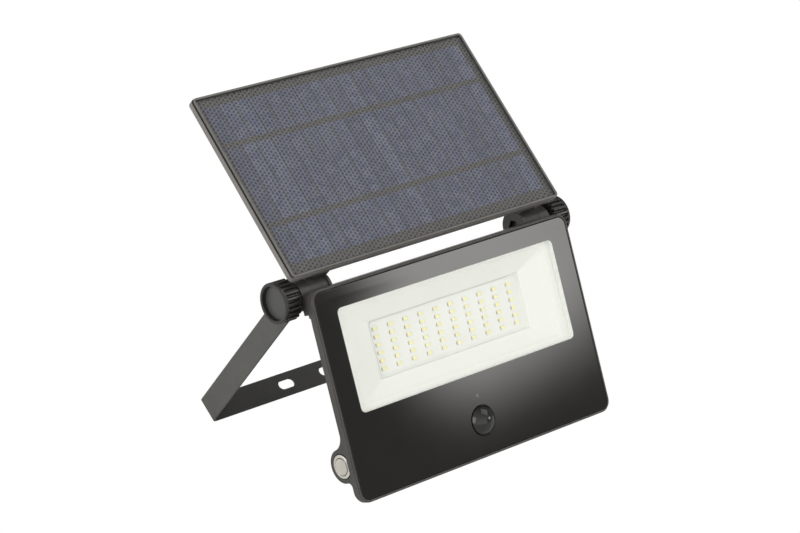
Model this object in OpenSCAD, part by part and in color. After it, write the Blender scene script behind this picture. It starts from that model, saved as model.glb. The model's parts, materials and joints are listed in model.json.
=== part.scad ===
// Solar flood light: lamp head and solar panel on one hinge line, held in a U-bracket by two hand knobs.
// Millimetres. X runs along the hinge, +Y points to the back, +Z is up. The light stands on the lamp's
// lower edge and the bracket's base. Each node draws at its place in the assembly.

/* [Lamp head] */
// Width of the lamp head across its front frame
lamp_w = 212; // [180:1:260]
// Height of the lamp head along its glass
lamp_h = 130; // [110:1:160]
// Corner radius of the front frame
lamp_r = 7.5; // [4:0.5:12]
// Depth of the thin rim around the glass
rim_depth = 7; // [6.5:0.1:9]
// Thickness of the front glass
glass_t = 4; // [3:0.5:5]
// Width of the clear window in the printed glass
window_w = 178.6; // [150:0.2:190]
// Height of the clear window in the printed glass
window_h = 64.2; // [50:0.2:80]
// Distance from the top edge down to the window's centre
window_drop = 46.2; // [40:0.1:60]
// Angle that the lamp head leans back from upright
lamp_lean = 24; // [10:0.5:35]

/* [LED board] */
// Columns of LEDs
led_cols = 10; // [4:1:12]
// Rows of LEDs
led_rows = 6; // [2:1:8]
// Distance between LED columns
led_pitch_x = 12.4; // [8:0.1:14]
// Distance between LED rows
led_pitch_z = 4.95; // [4:0.05:6]
// Length, height and thickness of one LED
led_size = [3.5, 0.8, 2.8]; // [0.5:0.1:5]

/* [Solar panel] */
// Width of the panel across its frame
panel_w = 221; // [180:1:260]
// Height of the panel along its glass
panel_h = 129; // [110:1:160]
// Angle that the panel leans back from upright
panel_lean = 49.7; // [30:0.1:70]
// Distance from the panel's front plane back to the hinge line
panel_setback = 19.2; // [16:0.1:24]
// Distance from the hinge line up to the panel's lower edge
panel_rise = 4.5; // [3:0.1:10]
// Number of cell strips side by side
cell_cols = 18; // [12:1:24]
// Distance between cell strips
cell_pitch = 11.66; // [9:0.01:14]
// Height of the cell strips
cell_h = 112; // [90:1:120]

/* [Hinge and knobs] */
// Distance from the lamp's front plane back to the hinge line
hinge_setback = 21; // [18:0.1:26]
// Distance from the lamp's top edge down to the hinge line
hinge_drop = 2.2; // [0:0.1:6]
// Radius of the hinge ears and knuckles
ear_r = 9.5; // [8:0.1:12]
// Radius of the clamp bolts
bolt_r = 2.5; // [2:0.1:3]
// Running clearance around the bolts, on the radius
bolt_fit = 0.06; // [0.02:0.01:0.1]
// Outer radius of the hand knobs
knob_r = 12.65; // [10:0.05:16]
// Number of grip flutes on a knob
knob_flutes = 22; // [12:1:30]

/* [Bracket] */
// Width of the bracket between the outer faces of its arms
bracket_w = 210; // [190:1:250]
// Distance from the hinge line to the base's outer face
bracket_len = 133; // [120:1:160]
// Width of the bracket's strip
strip_w = 16; // [12:0.5:25]
// Thickness of the bracket's strip
strip_t = 1.5; // [1:0.1:4]
// Width of the mounting slots
slot_w = 6.4; // [4:0.1:8]
// Length of the two outer slots
slot_len = 12.6; // [8:0.1:20]
// Distance between the centres of the two outer slots
slot_spacing = 78.8; // [50:0.2:120]
// Length of the middle slot
mid_slot_len = 23.2; // [12:0.2:40]

/* [Power button] */
// Radius of the button's steel head
button_head_r = 7.5; // [6:0.1:9]
// Radius of the push cap
button_cap_r = 5.2; // [4:0.1:6]

/* [Hidden] */
$fn = 64;
eps = 0.01;
wall = 2.2;
// colours as [red, green, blue]
c_black = [0.06, 0.06, 0.065];
c_dark = [0.1, 0.1, 0.105];
c_grey = [0.16, 0.17, 0.18];
c_steel = [0.72, 0.72, 0.72];
c_brass = [0.78, 0.62, 0.3];
c_white = [0.93, 0.94, 0.92];
c_pcb = [0.1, 0.35, 0.2];
c_rubber = [0.05, 0.05, 0.05];
c_alu = [0.75, 0.76, 0.77];
// the hinge line's height: the rim's lower back edge just touches the floor
rim_back = rim_depth - hinge_setback;
rim_low = lamp_h - hinge_drop;
hinge_h = rim_low * cos(lamp_lean) + rim_back * sin(lamp_lean);
hinge_y = -10.95;
// the bracket's lean brings the lower edge of its base down to the same floor
reach = sqrt(pow(bracket_len, 2) + pow(strip_w / 2, 2));
bracket_lean = atan2(strip_w / 2, bracket_len) + acos(hinge_h / reach);
// stations along the hinge, measured from the middle
flange_x0 = 79.9;
knuckle_x0 = 81.7;
knuckle_x1 = 90.7;
ring_x1 = 95.05;
ear_x0 = 95.2;
ear_x1 = 103.2;
arm_x1 = bracket_w / 2;
washer_x1 = arm_x1 + 1;
knob_x0 = washer_x1 + 0.15;
knob_x1 = 118.1;
cap_x0 = 114.35;
// the power button's place on the lamp's left side
button_y = 12;
button_z = -106.2;
// the boss around it: its flat face, the seat sunk into it and its radius
boss_x = -104.6;
button_seat = -103.6;
boss_r = 10.5;
nut_x0 = -99;
// depth at which the lamp's side steps in
rim_step = 4.7;
// the motion sensor's place behind the glass
pir_z = -107.6;
// depths inside the lamp, from the front plane
glass_y = 0.3;
glass_back = glass_y + glass_t;
seat_y = glass_back + 1;
board_front = 12.6;
board_t = 1.6;
tier_back = 20;
cover_front = tier_back + 0.8;
cover_back = 36.8;
tier_w = 190;
tier_top = -15;
tier_bottom = -122;
cover_w = 160;
cover_top = -16;
cover_bottom = -113;
cover_posts = [for (x = [-74.4, 74.4], z = [-21.6, -64.5, -107.4]) [x, z]];
board_posts = [[-50, -29], [50, -29], [-50, -63], [50, -63]];

// ---- places ----

// the lamp's own frame: y = 0 at its front plane, z = 0 at its top edge
module in_lamp() {
    translate([0, hinge_y, hinge_h]) rotate([-lamp_lean, 0, 0])
        translate([0, -hinge_setback, hinge_drop]) children();
}

// the panel's own frame: y = 0 at its front plane, z = 0 at its lower edge
module in_panel() {
    translate([0, hinge_y, hinge_h]) rotate([-panel_lean, 0, 0])
        translate([0, -panel_setback, panel_rise]) children();
}

// the bracket's own frame: origin on the hinge line, arms pointing down
module in_bracket() {
    translate([0, hinge_y, hinge_h]) rotate([bracket_lean, 0, 0]) children();
}

// ---- shapes ----

// flat plate standing in XZ with round corners, from y0 to y1
module plate(w, z0, z1, r, y0, y1) {
    translate([0, y1, 0]) rotate([90, 0, 0]) linear_extrude(y1 - y0) union() {
        translate([-w / 2 + r, z0]) square([w - 2 * r, z1 - z0]);
        translate([-w / 2, z0 + r]) square([w, z1 - z0 - 2 * r]);
        for (x = [-w / 2 + r, w / 2 - r], z = [z0 + r, z1 - r]) translate([x, z]) circle(r);
    }
}

// cylinder along X from x0 to x1 about the point (y, z)
module rod_x(r, x0, x1, y = 0, z = 0) {
    translate([x0, y, z]) rotate([0, 90, 0]) cylinder(r = r, h = x1 - x0);
}

// cylinder along Y from y0 to y1 about the point (x, z)
module rod_y(r, y0, y1, x = 0, z = 0) {
    translate([x, y1, z]) rotate([90, 0, 0]) cylinder(r = r, h = y1 - y0);
}

// draws on the right side and mirrored on the left
module both_sides() {
    children();
    mirror([1, 0, 0]) children();
}

// cross-head screw along Y: pan head outside y0, shank going in (towards -Y)
module screw_y(x, z, y0, head_r, head_t, shank_r, len) {
    difference() {
        union() {
            rod_y(head_r, y0, y0 + head_t, x, z);
            rod_y(shank_r, y0 - len, y0 + eps, x, z);
        }
        for (a = [0, 90]) translate([x, y0 + head_t, z]) rotate([0, a, 0])
            translate([-head_r * 0.55, -head_t * 0.45, -head_r * 0.13])
                cube([head_r * 1.1, head_t, head_r * 0.26]);
    }
}

// ---- bracket ----

module slot_cut(len, x) {
    translate([x, 0, -bracket_len - 1]) linear_extrude(strip_t + 2) union() {
        square([len - slot_w, slot_w], center = true);
        for (s = [-1, 1]) translate([s * (len - slot_w) / 2, 0]) circle(slot_w / 2);
    }
}

module mounting_bracket() {
    bend = 4.2;
    color(c_dark) in_bracket() difference() {
        union() {
            both_sides() {
                translate([arm_x1 - strip_t, -strip_w / 2, -bracket_len + bend])
                    cube([strip_t, strip_w, bracket_len - bend]);
                rod_x(strip_w / 2, arm_x1 - strip_t, arm_x1);
                translate([arm_x1 - bend, strip_w / 2, -bracket_len + bend]) rotate([90, 0, 0])
                    rotate([0, 0, -90]) rotate_extrude(angle = 90)
                        translate([bend - strip_t, 0]) square([strip_t, strip_w]);
            }
            translate([-arm_x1 + bend, -strip_w / 2, -bracket_len])
                cube([bracket_w - 2 * bend, strip_w, strip_t]);
        }
        rod_x(bolt_r + bolt_fit, -arm_x1 - 1, arm_x1 + 1);
        slot_cut(mid_slot_len, 0);
        for (s = [-1, 1]) slot_cut(slot_len, s * slot_spacing / 2);
    }
}

module knob_washers() {
    color(c_steel) in_bracket() both_sides() difference() {
        rod_x(6.2, arm_x1, washer_x1);
        rod_x(2.85, arm_x1 - 1, washer_x1 + 1);
    }
}

// ---- knobs, drawn for the right side ----

module knob_body_shape() {
    in_bracket() difference() {
        union() {
            rod_x(knob_r, knob_x0, knob_x1 - 0.8);
            rod_x(knob_r - 0.5, knob_x1 - 1, knob_x1);
        }
        rod_x(10.5, cap_x0, knob_x1 + 1);
        rod_x(4, knob_x0 - 1, cap_x0 + 1);
        for (i = [0:knob_flutes - 1]) rotate([i * 360 / knob_flutes, 0, 0])
            rod_x(1.05, knob_x0 - 1, knob_x1 - 2.4, 0, knob_r + 0.25);
    }
}

module knob_cap_shape() {
    in_bracket() rod_x(10.45, cap_x0, cap_x0 + 1.1);
}

module knob_insert_shape() {
    in_bracket() difference() {
        rod_x(4, knob_x0, cap_x0 - 0.3);
        rod_x(bolt_r + bolt_fit, knob_x0 - 1, cap_x0);
    }
}

module right_knob_body() { color(c_black) knob_body_shape(); }
module right_knob_cap() { color(c_grey) knob_cap_shape(); }
module right_knob_insert() { color(c_brass) knob_insert_shape(); }
module left_knob_body() { color(c_black) mirror([1, 0, 0]) knob_body_shape(); }
module left_knob_cap() { color(c_grey) mirror([1, 0, 0]) knob_cap_shape(); }
module left_knob_insert() { color(c_brass) mirror([1, 0, 0]) knob_insert_shape(); }

// ---- lamp head ----

// the lamp's outer ear around the hinge, with its root on the back of the rim
module lamp_ear() {
    rod_x(ear_r, ear_x0, ear_x1, hinge_setback, -hinge_drop);
    translate([ear_x0, rim_depth - 1, -14]) cube([ear_x1 - ear_x0, 8, 12]);
    translate([ear_x0, rim_depth - 1, -16]) cube([ear_x1 - ear_x0, 4, 6]);
}

// side view of the button's boss: a disc that runs into the rim with a hollow on each side
module boss_outline() {
    hollow(10, 1);
    hollow(3, -1);
    intersection() {
        translate([button_y, button_z]) circle(boss_r);
        translate([rim_step, button_z - 12]) square([30, 24]);
    }
}

// fill between the rim's back face and the boss with a hollow of radius r, above (1) or below (-1)
module hollow(r, side) {
    back = rim_depth - 0.01;
    dy = back + r - button_y;
    dz = side * sqrt(pow(boss_r + r, 2) - dy * dy);
    share = boss_r / (boss_r + r);
    difference() {
        polygon([[rim_step, button_z], [button_y, button_z],
            [button_y + share * dy, button_z + share * dz],
            [back + r, button_z + dz], [rim_step, button_z + dz]]);
        translate([back + r, button_z + dz]) circle(r);
    }
}

module rear_housing() {
    color(c_dark) in_lamp() difference() {
        union() {
            plate(lamp_w, -lamp_h, 0, lamp_r, 2.2, rim_step);
            plate(2 * -boss_x, -lamp_h, 0, lamp_r, rim_step - eps, rim_depth);
            plate(tier_w, tier_bottom, tier_top, 7, rim_depth - eps, tier_back);
            both_sides() lamp_ear();
            translate([boss_x, 0, 0]) rotate([90, 0, 90]) linear_extrude(14.6) boss_outline();
            // standoffs for the control board
            for (p = board_posts) rod_y(3, tier_back - eps, 26, p[0], p[1]);
        }
        // seat for the glass
        plate(lamp_w - 3.2, -lamp_h + 1.6, -1.6, lamp_r - 1.6, 1, seat_y);
        // inside of the shallow tier
        plate(tier_w - 2 * wall, tier_bottom + wall, tier_top - wall, 5, seat_y - 1, tier_back - wall);
        // way through to the battery space
        plate(142, -111, -72.5, 1, tier_back - wall - 1, tier_back + 1);
        // hinge bore
        rod_x(bolt_r + bolt_fit, -ear_x1 - 1, ear_x1 + 1, hinge_setback, -hinge_drop);
        // button hole, the sunk seat around it and the space behind it
        rod_x(6.05, boss_x - 1, nut_x0 + 1, button_y, button_z);
        rod_x(8, boss_x - 1, button_seat, button_y, button_z);
        rod_x(8, nut_x0, -89, button_y, button_z);
        // screw holes
        for (p = cover_posts) rod_y(1.45, tier_back - wall - 1, tier_back + 1, p[0], p[1]);
        for (p = board_posts) rod_y(1.15, 20.5, 27, p[0], p[1]);
        // vent hole in the lower wall
        translate([40, 13.5, tier_bottom - 1]) cylinder(r = 3.05, h = 5);
    }
}

module front_frame() {
    color(c_dark) in_lamp() difference() {
        union() {
            plate(lamp_w - 1, -lamp_h + 0.5, -0.5, lamp_r - 0.5, 0, 0.7);
            plate(lamp_w, -lamp_h, 0, lamp_r, 0.7 - eps, 2.2);
        }
        plate(lamp_w - 3.2, -lamp_h + 1.6, -1.6, lamp_r - 1.6, -1, 3);
    }
}

module front_glass() {
    color([0.3, 0.32, 0.33, 0.5]) in_lamp() difference() {
        plate(lamp_w - 3.8, -lamp_h + 1.9, -1.9, lamp_r - 1.9, glass_y, glass_back);
        rod_y(9.75, -1, glass_back + 1, 0, pir_z);
    }
}

module glass_gasket() {
    color(c_rubber) in_lamp() difference() {
        plate(lamp_w - 3.8, -lamp_h + 1.9, -1.9, lamp_r - 1.9, glass_back, seat_y);
        plate(lamp_w - 12, -lamp_h + 6, -6, lamp_r - 4, glass_back - 1, seat_y + 1);
    }
}

// four-sided funnel between two rectangles centred on the window
module funnel(w0, h0, w1, h1, y0, y1) {
    hull() {
        translate([-w0 / 2, y0, -window_drop - h0 / 2]) cube([w0, eps, h0]);
        translate([-w1 / 2, y1 - eps, -window_drop - h1 / 2]) cube([w1, eps, h1]);
    }
}

module reflector() {
    mouth_w = 165; mouth_h = 56; throat_w = 126; throat_h = 36; lip_y = 9.5; t = 1;
    color(c_white) in_lamp() difference() {
        union() {
            plate(183, -window_drop - 34.2, -window_drop + 34.2, 4, glass_back + 0.1, seat_y);
            funnel(mouth_w + 2 * t, mouth_h + 2 * t, throat_w + 2 * t, throat_h + 2 * t,
                glass_back + 0.1, lip_y);
            translate([-throat_w / 2 - t, lip_y - 0.5, -window_drop - throat_h / 2 - t])
                cube([throat_w + 2 * t, 13.9 - lip_y + 0.5, throat_h + 2 * t]);
        }
        funnel(mouth_w, mouth_h, throat_w, throat_h, glass_back, lip_y + eps);
        translate([-throat_w / 2, lip_y - 0.6, -window_drop - throat_h / 2])
            cube([throat_w, 12.9 - lip_y + 0.6, throat_h]);
        plate(118.4, -window_drop - 17.1, -window_drop + 17.1, 2.2, 12, 15);
    }
}

module led_board() {
    color(c_white) in_lamp()
        plate(118, -window_drop - 16.9, -window_drop + 16.9, 2, board_front, board_front + board_t);
}

module led_chips() {
    color([0.95, 0.9, 0.55]) in_lamp()
        for (i = [0:led_cols - 1], j = [0:led_rows - 1])
            translate([(i - (led_cols - 1) / 2) * led_pitch_x - led_size[0] / 2,
                board_front - led_size[1],
                -window_drop - 0.3 + (j - (led_rows - 1) / 2) * led_pitch_z - led_size[2] / 2])
                cube(led_size);
}

module heat_spreader() {
    color(c_alu) in_lamp()
        plate(140, -70, -22, 2, board_front + board_t, tier_back - wall);
}

module control_board() {
    color(c_pcb) in_lamp() difference() {
        plate(112, -68, -24, 1.5, 26, 27.6);
        for (p = board_posts) rod_y(1.5, 25, 29, p[0], p[1]);
    }
}

module board_parts() {
    color(c_black) in_lamp() {
        // two storage capacitors, a coil, two chips and the battery plug
        for (x = [-34, -20]) rod_y(4, 27.6, 34, x, -38);
        translate([-4, 27.6, -42]) cube([10, 4.2, 10]);
        translate([18, 27.6, -40]) cube([6, 1.6, 5]);
        translate([30, 27.6, -58]) cube([9, 1.6, 7]);
        translate([-40, 27.6, -62]) cube([12, 5.5, 6]);
        translate([-14, 27.6, -62]) cube([8, 5.5, 6]);
    }
}

module board_screws() {
    color(c_steel) in_lamp()
        for (p = board_posts) screw_y(p[0], p[1], 27.6, 2.3, 1.4, 1.1, 6);
}

module battery_cells() {
    color([0.2, 0.35, 0.6]) in_lamp()
        for (s = [-1, 1], z = [-82.4, -101.4]) rod_x(9.2, s * 34.5 - 32.5, s * 34.5 + 32.5, 24.4, z);
}

module battery_holder() {
    color(c_black) in_lamp() difference() {
        union() {
            translate([-69.8, 13.2, -110.8]) cube([139.6, 1.8, 37.6]);
            for (x = [-69.8, 67.8]) translate([x, 13.2, -110.8]) cube([2, 16, 37.6]);
            for (x = [-9, 9]) rod_y(2, 9.6, 13.2 + eps, x, pir_z + 6.6);
        }
        for (x = [-50, 0, 50]) rod_y(5, 12, 16, x, -92);
    }
}

module battery_tabs() {
    color(c_steel) in_lamp() {
        for (x = [-67.6, 67.2]) translate([x, 21, -104]) cube([0.4, 6, 24]);
        for (z = [-82.4, -101.4]) translate([-1.8, 21.4, z - 3]) cube([3.6, 6, 6]);
    }
}

module pir_lens() {
    dome_r = 10.6; base_r = 9.2; rise = 5.6;
    color(c_black) in_lamp() translate([0, glass_back + 0.2, pir_z]) rotate([90, 0, 0])
        rotate_extrude() difference() {
            union() {
                // thin flange behind the glass, then the wall, then the dome
                translate([0, -1.2]) square([12, 1.2]);
                translate([0, -eps]) square([base_r, glass_back + 0.2 + eps]);
                intersection() {
                    translate([0, glass_back + 0.2 + rise - dome_r]) circle(dome_r);
                    translate([0, glass_back]) square([base_r, rise + 1]);
                }
            }
            intersection() {
                union() {
                    translate([0, -2]) square([base_r - 1.1, glass_back + 2.2]);
                    intersection() {
                        translate([0, glass_back + 0.2 + rise - dome_r]) circle(dome_r - 1.1);
                        translate([0, glass_back]) square([base_r - 1.1, rise + 1]);
                    }
                }
                translate([-1, -3]) square([base_r + 1, 20]);
            }
            translate([-30, -10]) square([30, 40]);
        }
}

module pir_sensor() {
    color(c_steel) in_lamp() {
        rod_y(4.1, 3.2, 7.4, 0, pir_z);
        rod_y(4.6, 7, 7.8, 0, pir_z);
        for (a = [-2, 0, 2]) rod_y(0.3, 7.6, 8.4, a, pir_z - 1.5);
    }
}

module sensor_board() {
    color(c_pcb) in_lamp() plate(30, pir_z - 9, pir_z + 20, 1.5, 8.4, 9.6);
}

module indicator_pipe() {
    color([0.85, 0.87, 0.88]) in_lamp() union() {
        rod_y(1.2, glass_back + 0.1, 7, 0, -91.9);
        rod_y(1.8, 6, 8.3, 0, -91.9);
    }
}

// ---- power button ----

module button_body() {
    face = button_seat - 1.7;
    color(c_steel) in_lamp() difference() {
        union() {
            rod_x(button_head_r - 0.4, face, face + 0.3, button_y, button_z);
            rod_x(button_head_r, face + 0.3, button_seat - 0.5, button_y, button_z);
            rod_x(6, button_seat - 0.6, -91.5, button_y, button_z);
        }
        rod_x(button_cap_r + 0.3, face - 1, nut_x0 + 0.2, button_y, button_z);
        rod_x(4.4, nut_x0, -92.8, button_y, button_z);
    }
}

module button_oring() {
    color(c_rubber) in_lamp() difference() {
        rod_x(6.6, button_seat - 0.5, button_seat, button_y, button_z);
        rod_x(6.02, button_seat - 1, button_seat + 1, button_y, button_z);
    }
}

module button_nut() {
    color(c_steel) in_lamp() difference() {
        translate([nut_x0, button_y, button_z]) rotate([0, 90, 0]) cylinder(r = 7.6, h = 2.4, $fn = 6);
        rod_x(6.02, nut_x0 - 1, nut_x0 + 4, button_y, button_z);
    }
}

module button_cap() {
    face = button_seat - 1.9;
    color(c_steel) in_lamp() union() {
        rod_x(button_cap_r, face, nut_x0 - 1.3, button_y, button_z);
        rod_x(2, nut_x0 - 1.3 - eps, nut_x0 + 2.7, button_y, button_z);
    }
}

// ---- back of the lamp ----

module rear_cover() {
    color(c_dark) in_lamp() difference() {
        union() {
            difference() {
                plate(cover_w, cover_bottom, cover_top, 8, cover_front, cover_back);
                plate(cover_w - 2 * wall, cover_bottom + wall, cover_top - wall, 6,
                    cover_front - 1, cover_back - wall);
            }
            for (p = cover_posts) rod_y(3.6, cover_front, cover_back - 1, p[0], p[1]);
            // shallow stiffening ribs on the outside
            for (x = [-60, -30, 30, 60]) translate([x - 1, cover_back - eps, -100]) cube([2, 1, 72]);
        }
        for (p = cover_posts) {
            rod_y(1.6, cover_front - 1, cover_back + 1, p[0], p[1]);
            rod_y(3, cover_back - 2.2, cover_back + 1, p[0], p[1]);
        }
        translate([0, 28.6, cover_top - 4]) cylinder(r = 5.05, h = 6);
    }
}

module cover_gasket() {
    color(c_rubber) in_lamp() difference() {
        plate(cover_w - 0.6, cover_bottom + 0.3, cover_top - 0.3, 7.7, tier_back, cover_front);
        plate(cover_w - 4, cover_bottom + 2, cover_top - 2, 6, tier_back - 1, cover_front + 1);
    }
}

module cover_screws() {
    color(c_steel) in_lamp()
        for (p = cover_posts) screw_y(p[0], p[1], cover_back - 2.2, 2.8, 1.8, 1.4, 16.5);
}

module vent_plug() {
    color(c_rubber) in_lamp() union() {
        translate([40, 13.5, tier_bottom - 0.5]) cylinder(r = 3, h = 3.9);
        translate([40, 13.5, tier_bottom - 1.6]) cylinder(r = 4.6, h = 1.6);
    }
}

// cable gland standing on z = 0: threaded stub below, hex, then a domed nut with a cable hole
module gland() {
    difference() {
        union() {
            translate([0, 0, -4]) cylinder(r = 5, h = 4 + eps);
            cylinder(r = 7, h = 3, $fn = 6);
            translate([0, 0, 3 - eps]) cylinder(r = 5.8, h = 4);
            translate([0, 0, 7 - 2 * eps]) cylinder(r1 = 5.8, r2 = 3.8, h = 2);
        }
        translate([0, 0, -5]) cylinder(r = 2.2, h = 16);
    }
}

module lamp_gland() {
    color(c_black) in_lamp() translate([0, 28.6, cover_top]) gland();
}

// ---- solar panel ----

// one knuckle of the panel: barrel, wider inner flange and the neck up to the shell
module panel_knuckle() {
    rod_x(ear_r, knuckle_x0, knuckle_x1, panel_setback, -panel_rise);
    rod_x(ear_r + 1.1, flange_x0, knuckle_x0 + eps, panel_setback, -panel_rise);
    translate([flange_x0 + 0.4, 5, -0.5]) cube([knuckle_x1 - flange_x0 - 0.4, 10, 15.5]);
}

module panel_shell() {
    color(c_dark) in_panel() difference() {
        union() {
            plate(panel_w, 0, panel_h, 3, 2, 5.7);
            plate(panel_w - 14, 8, panel_h - 8, 4, 5.7 - eps, 8);
            plate(176, 14, panel_h - 14, 8, 8 - eps, 15);
            both_sides() panel_knuckle();
        }
        // seat for the glass stack
        plate(panel_w - 3.4, 1.7, panel_h - 1.7, 2, 0, 3.7);
        // hollow of the back box
        plate(172, 16, panel_h - 16, 6, 3, 13);
        both_sides() {
            rod_x(2.6, flange_x0 - 1, knuckle_x1 + 1, panel_setback, -panel_rise);
            // hex pocket for the bolt head
            translate([flange_x0 - 1, panel_setback, -panel_rise]) rotate([0, 90, 0])
                rotate([0, 0, 30 - (panel_lean - lamp_lean)]) cylinder(r = 5.1, h = 7, $fn = 6);
        }
        // screw holes at the edge and the gland's hole
        for (s = [-1, 1], z = [20, panel_h / 2, panel_h - 20]) rod_y(1.6, 3, 12, s * 96, z);
        rod_y(5.05, 12, 16, 0, 24);
    }
}

module panel_frame() {
    color(c_dark) in_panel() difference() {
        union() {
            plate(panel_w - 0.8, 0.4, panel_h - 0.4, 2.6, 0, 0.7);
            plate(panel_w - 2.4, 1.2, panel_h - 1.2, 2, 0.7 - eps, 2);
        }
        plate(panel_w - 3.6, 1.8, panel_h - 1.8, 2, -1, 3);
    }
}

module panel_glass() {
    color([0.5, 0.52, 0.55, 0.5]) in_panel()
        plate(panel_w - 4, 2, panel_h - 2, 1.8, 1, 2.8);
}

module solar_cells() {
    color([0.3, 0.36, 0.55]) in_panel()
        for (i = [0:cell_cols - 1])
            translate([(i - cell_cols / 2) * cell_pitch + 0.3, 2.9, 9.6])
                cube([cell_pitch - 0.6, 0.3, cell_h]);
}

module bus_ribbons() {
    color([0.45, 0.43, 0.4]) in_panel()
        for (z = [37.4, 93.9])
            translate([-cell_pitch * cell_cols / 2, 2.8, z - 2]) cube([cell_pitch * cell_cols, 0.1, 4]);
}

module panel_backsheet() {
    color([0.4, 0.38, 0.36]) in_panel()
        plate(panel_w - 4, 2, panel_h - 2, 1.8, 3.2, 3.7);
}

module panel_screws() {
    color(c_steel) in_panel()
        for (s = [-1, 1], z = [20, panel_h / 2, panel_h - 20]) screw_y(s * 96, z, 8, 2.8, 1.4, 1.5, 4);
}

module hinge_bolts() {
    color(c_steel) in_panel() both_sides() union() {
        translate([82.9, panel_setback, -panel_rise]) rotate([0, 90, 0])
            rotate([0, 0, 30 - (panel_lean - lamp_lean)]) cylinder(r = 4.62, h = 3, $fn = 6);
        rod_x(bolt_r, 85.8, 113.5, panel_setback, -panel_rise);
    }
}

module friction_washers() {
    color(c_black) in_panel() both_sides() difference() {
        union() {
            rod_x(ear_r, knuckle_x1, ring_x1, panel_setback, -panel_rise);
            // locating tab in the notch under the panel
            translate([knuckle_x1, panel_setback - 9, -panel_rise + 3]) cube([ring_x1 - knuckle_x1, 7, 7.6]);
        }
        rod_x(2.6, knuckle_x1 - 1, ring_x1 + 1, panel_setback, -panel_rise);
    }
}

module panel_gland() {
    color(c_black) in_panel() translate([0, 15, 24]) rotate([-90, 0, 0]) gland();
}

mounting_bracket();
knob_washers();
left_knob_body();
left_knob_cap();
left_knob_insert();
right_knob_body();
right_knob_cap();
right_knob_insert();
rear_housing();
front_frame();
front_glass();
glass_gasket();
reflector();
led_board();
led_chips();
heat_spreader();
control_board();
board_parts();
board_screws();
battery_cells();
battery_holder();
battery_tabs();
pir_sensor();
pir_lens();
sensor_board();
indicator_pipe();
button_body();
button_oring();
button_nut();
button_cap();
rear_cover();
cover_gasket();
cover_screws();
vent_plug();
lamp_gland();
panel_shell();
panel_frame();
panel_glass();
solar_cells();
bus_ribbons();
panel_backsheet();
panel_screws();
hinge_bolts();
friction_washers();
panel_gland();
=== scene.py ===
"""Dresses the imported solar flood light: finishes, fine shapes, floor, light and camera.

Lengths inside a sub-assembly are millimetres in that sub-assembly's own frame; a Place turns
them into metres in the row frame.
"""

import json
import logging
import math
from collections.abc import Callable, Sequence
from dataclasses import dataclass, field
from enum import Enum

import bmesh
import bpy
from mathutils import Matrix, Vector
from mathutils.geometry import tessellate_polygon


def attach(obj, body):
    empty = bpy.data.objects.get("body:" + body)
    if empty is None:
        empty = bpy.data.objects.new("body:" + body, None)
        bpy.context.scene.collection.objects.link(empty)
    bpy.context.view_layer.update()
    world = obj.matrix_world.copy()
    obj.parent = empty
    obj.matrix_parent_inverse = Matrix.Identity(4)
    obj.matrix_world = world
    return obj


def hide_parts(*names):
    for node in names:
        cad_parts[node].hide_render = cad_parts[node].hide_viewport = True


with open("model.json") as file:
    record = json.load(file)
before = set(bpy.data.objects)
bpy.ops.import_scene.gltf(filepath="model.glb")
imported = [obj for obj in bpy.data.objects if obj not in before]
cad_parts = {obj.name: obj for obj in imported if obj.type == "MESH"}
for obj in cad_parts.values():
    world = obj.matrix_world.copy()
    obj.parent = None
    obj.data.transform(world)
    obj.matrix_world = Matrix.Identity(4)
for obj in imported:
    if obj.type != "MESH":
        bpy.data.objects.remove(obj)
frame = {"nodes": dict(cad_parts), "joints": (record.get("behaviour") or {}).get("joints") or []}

log = logging.getLogger("flood_light")

MM = 0.001
Point = tuple[float, float, float]
Pair = tuple[float, float]
Colour = Point
Outline = list[Pair]


class Body(Enum):
    """The moving bodies that a piece can ride on."""

    BRACKET = "bracket"
    LAMP = "lamp"
    PANEL = "panel"
    BUTTON = "button"
    LEFT_KNOB = "left_knob"
    RIGHT_KNOB = "right_knob"


class Slot(Enum):
    """The record's material slots."""

    BRACKET_STEEL = "bracket_steel"
    STEEL = "steel"
    KNOB = "knob_plastic"
    KNOB_CAP = "knob_cap_plastic"
    BRASS = "brass"
    HOUSING = "housing_plastic"
    FRONT_GLASS = "front_glass"
    RUBBER = "rubber"
    REFLECTOR = "reflector_white"
    BOARD_WHITE = "board_white"
    LED = "led_phosphor"
    ALUMINIUM = "aluminium"
    BOARD_GREEN = "board_green"
    COMPONENT = "component_black"
    BATTERY = "battery_wrap"
    NICKEL = "nickel"
    SENSOR_LENS = "lens_black"
    LIGHT_PIPE = "light_pipe"
    BUTTON_STEEL = "button_steel"
    GLAND = "gland_nylon"
    PANEL_PLASTIC = "panel_plastic"
    PANEL_GLASS = "panel_glass"
    SOLAR_CELL = "solar_cell"
    CELL_BACKING = "cell_backing"


# ---- finishes ----


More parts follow.
